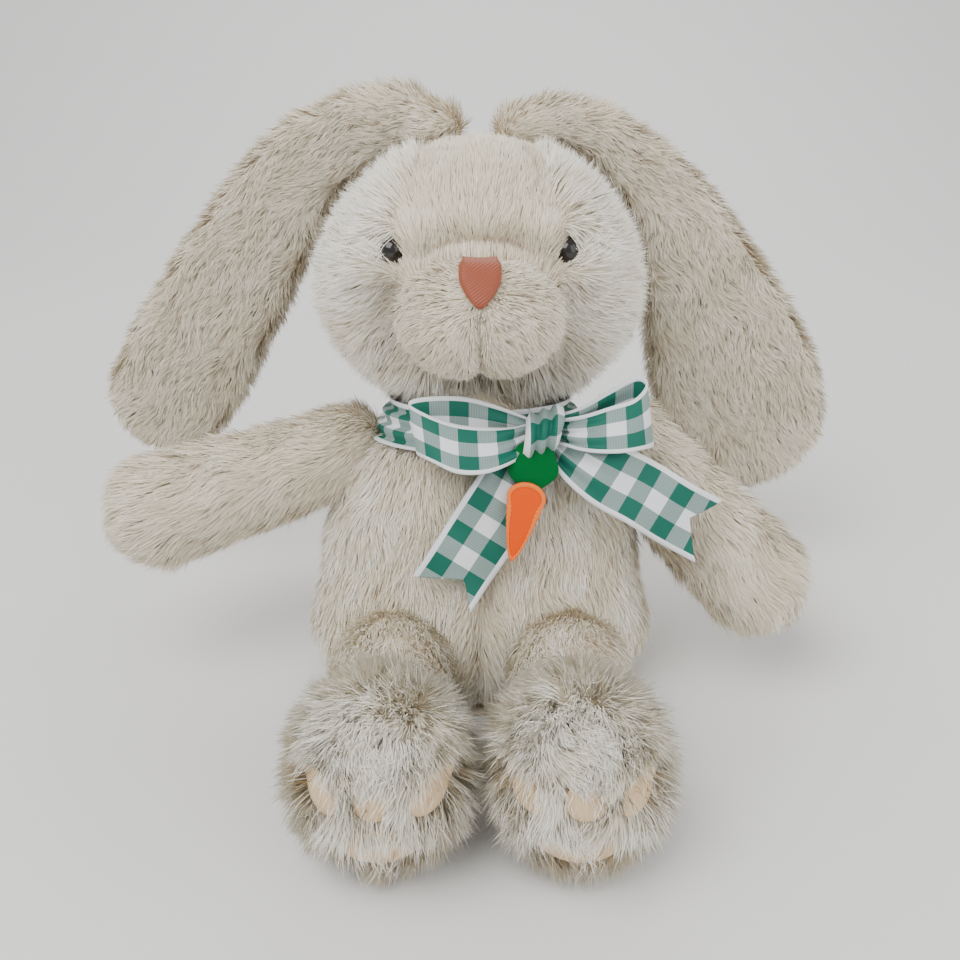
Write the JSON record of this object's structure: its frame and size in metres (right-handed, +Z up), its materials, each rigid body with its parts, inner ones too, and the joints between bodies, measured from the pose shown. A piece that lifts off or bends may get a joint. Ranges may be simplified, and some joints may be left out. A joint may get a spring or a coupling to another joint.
{
  "type": "plush rabbit",
  "caption": "Seated plush lop-eared rabbit with jointed head, ears, arms, legs and tail, a gingham neck bow and a felt carrot charm.",
  "frame": {"origin": "on the floor, in the rabbit's middle plane, under the point where the spine meets the floor; the seat panel's lower face lies on z = 0", "axes": "+Z up from the floor, -Y the way the rabbit looks, +X towards the rabbit's own left side"},
  "size_m": [0.3186, 0.2365, 0.2241],
  "materials": {
    "plush": "long cream faux fur",
    "short_plush": "shorter, slightly tan faux fur",
    "filling": "white polyester fibre filling",
    "pouch_cloth": "plain cotton bag of pellets",
    "nose_thread": "copper satin-stitch embroidery",
    "eye_plastic": "polished near-black plastic",
    "washer_plastic": "white moulded plastic",
    "pad_suede": "peach suede cloth",
    "gingham": "green and white woven gingham ribbon",
    "orange_felt": "orange felt",
    "green_felt": "green felt",
    "orange_thread": "bright orange thread"
  },
  "bodies": {
    "torso": {"seat_panel": "plush", "torso_front_left": "plush", "torso_front_right": "plush", "torso_back": "plush", "torso_stuffing": "filling", "pellet_pouch": "pouch_cloth", "ribbon_neck_band": "gingham", "bow_knot": "gingham", "bow_loop_left": "gingham", "bow_loop_right": "gingham", "bow_tail_left": "gingham", "bow_tail_right": "gingham"},
    "neck": {"neck_stuffing": "filling"},
    "head": {"head_side_left": "plush", "head_side_right": "plush", "head_gusset": "plush", "head_chin": "plush", "head_stuffing": "filling", "muzzle_left": "short_plush", "muzzle_right": "short_plush", "muzzle_stuffing": "filling", "embroidered_nose": "nose_thread", "left_eye": "eye_plastic", "right_eye": "eye_plastic", "left_eye_washer": "washer_plastic", "right_eye_washer": "washer_plastic"},
    "left_ear": {"left_ear_fur": "plush", "left_ear_lining": "short_plush"},
    "right_ear": {"right_ear_fur": "plush", "right_ear_lining": "short_plush"},
    "left_shoulder": {"left_shoulder_wad": "filling"},
    "left_arm": {"left_arm_cover": "plush", "left_arm_stuffing": "filling"},
    "right_shoulder": {"right_shoulder_wad": "filling"},
    "right_arm": {"right_arm_cover": "plush", "right_arm_stuffing": "filling"},
    "left_hip": {"left_hip_wad": "filling"},
    "left_leg": {"left_leg_cover": "plush", "left_leg_stuffing": "filling", "left_foot_cover": "plush", "left_foot_stuffing": "filling", "left_toe_pad_inner": "pad_suede", "left_toe_pad_middle": "pad_suede", "left_toe_pad_outer": "pad_suede", "left_sole_pad": "pad_suede"},
    "right_hip": {"right_hip_wad": "filling"},
    "right_leg": {"right_leg_cover": "plush", "right_leg_stuffing": "filling", "right_foot_cover": "plush", "right_foot_stuffing": "filling", "right_toe_pad_inner": "pad_suede", "right_toe_pad_middle": "pad_suede", "right_toe_pad_outer": "pad_suede", "right_sole_pad": "pad_suede"},
    "tail": {"tail_cover": "plush", "tail_stuffing": "filling"},
    "carrot": {"carrot_root": "orange_felt", "carrot_top": "green_felt", "carrot_stitching": "orange_thread"}
  },
  "joints": [
    {"name": "neck_turn", "type": "hinge", "parent": "torso", "child": "neck", "pos_m": [0, 0.03276, 0.10081], "axis": [0, 0.309, 0.9511], "range_deg": [-12, 12]},
    {"name": "head_nod", "type": "hinge", "parent": "neck", "child": "head", "pos_m": [0, 0.03276, 0.10081], "axis": [1, 0, 0], "range_deg": [-12, 9]},
    {"name": "left_ear_lift", "type": "hinge", "parent": "head", "child": "left_ear", "pos_m": [0.016, 0.08161, 0.20586], "axis": [0, -0.9994, 0.0349], "range_deg": [0, 30]},
    {"name": "right_ear_lift", "type": "hinge", "parent": "head", "child": "right_ear", "pos_m": [-0.016, 0.08161, 0.20586], "axis": [0, 0.9994, -0.0349], "range_deg": [0, 30]},
    {"name": "left_shoulder_lift", "type": "hinge", "parent": "torso", "child": "left_shoulder", "pos_m": [0.06425, 0.02241, 0.0884], "axis": [0, -0.9511, 0.309], "range_deg": [0, 64]},
    {"name": "left_shoulder_swing", "type": "hinge", "parent": "left_shoulder", "child": "left_arm", "pos_m": [0.06425, 0.02241, 0.0884], "axis": [0, -0.309, -0.9511], "range_deg": [-5, 16]},
    {"name": "right_shoulder_lift", "type": "hinge", "parent": "torso", "child": "right_shoulder", "pos_m": [-0.06425, 0.02241, 0.0884], "axis": [0, 0.9511, -0.309], "range_deg": [-28, 36]},
    {"name": "right_shoulder_swing", "type": "hinge", "parent": "right_shoulder", "child": "right_arm", "pos_m": [-0.06425, 0.02241, 0.0884], "axis": [0, 0.309, 0.9511], "range_deg": [-5, 16]},
    {"name": "left_hip_flex", "type": "hinge", "parent": "torso", "child": "left_hip", "pos_m": [0.03275, -0.038, 0.0296], "axis": [-1, 0, 0], "range_deg": [-40, 30]},
    {"name": "left_hip_splay", "type": "hinge", "parent": "left_hip", "child": "left_leg", "pos_m": [0.03275, -0.038, 0.0296], "axis": [0, 0, 1], "range_deg": [0, 35]},
    {"name": "right_hip_flex", "type": "hinge", "parent": "torso", "child": "right_hip", "pos_m": [-0.03275, -0.038, 0.0296], "axis": [-1, 0, 0], "range_deg": [-40, 30]},
    {"name": "right_hip_splay", "type": "hinge", "parent": "right_hip", "child": "right_leg", "pos_m": [-0.03275, -0.038, 0.0296], "axis": [0, 0, -1], "range_deg": [0, 35]},
    {"name": "tail_wag", "type": "hinge", "parent": "torso", "child": "tail", "pos_m": [0, 0.069, 0.021], "axis": [0, 0, 1], "range_deg": [-15, 15], "stiffness_Nm_per_rad": 0.01},
    {"name": "carrot_swing", "type": "hinge", "parent": "torso", "child": "carrot", "pos_m": [0.019, -0.02216, 0.10656], "axis": [0, 0.9511, -0.309], "range_deg": [-20, 20]}
  ]
}
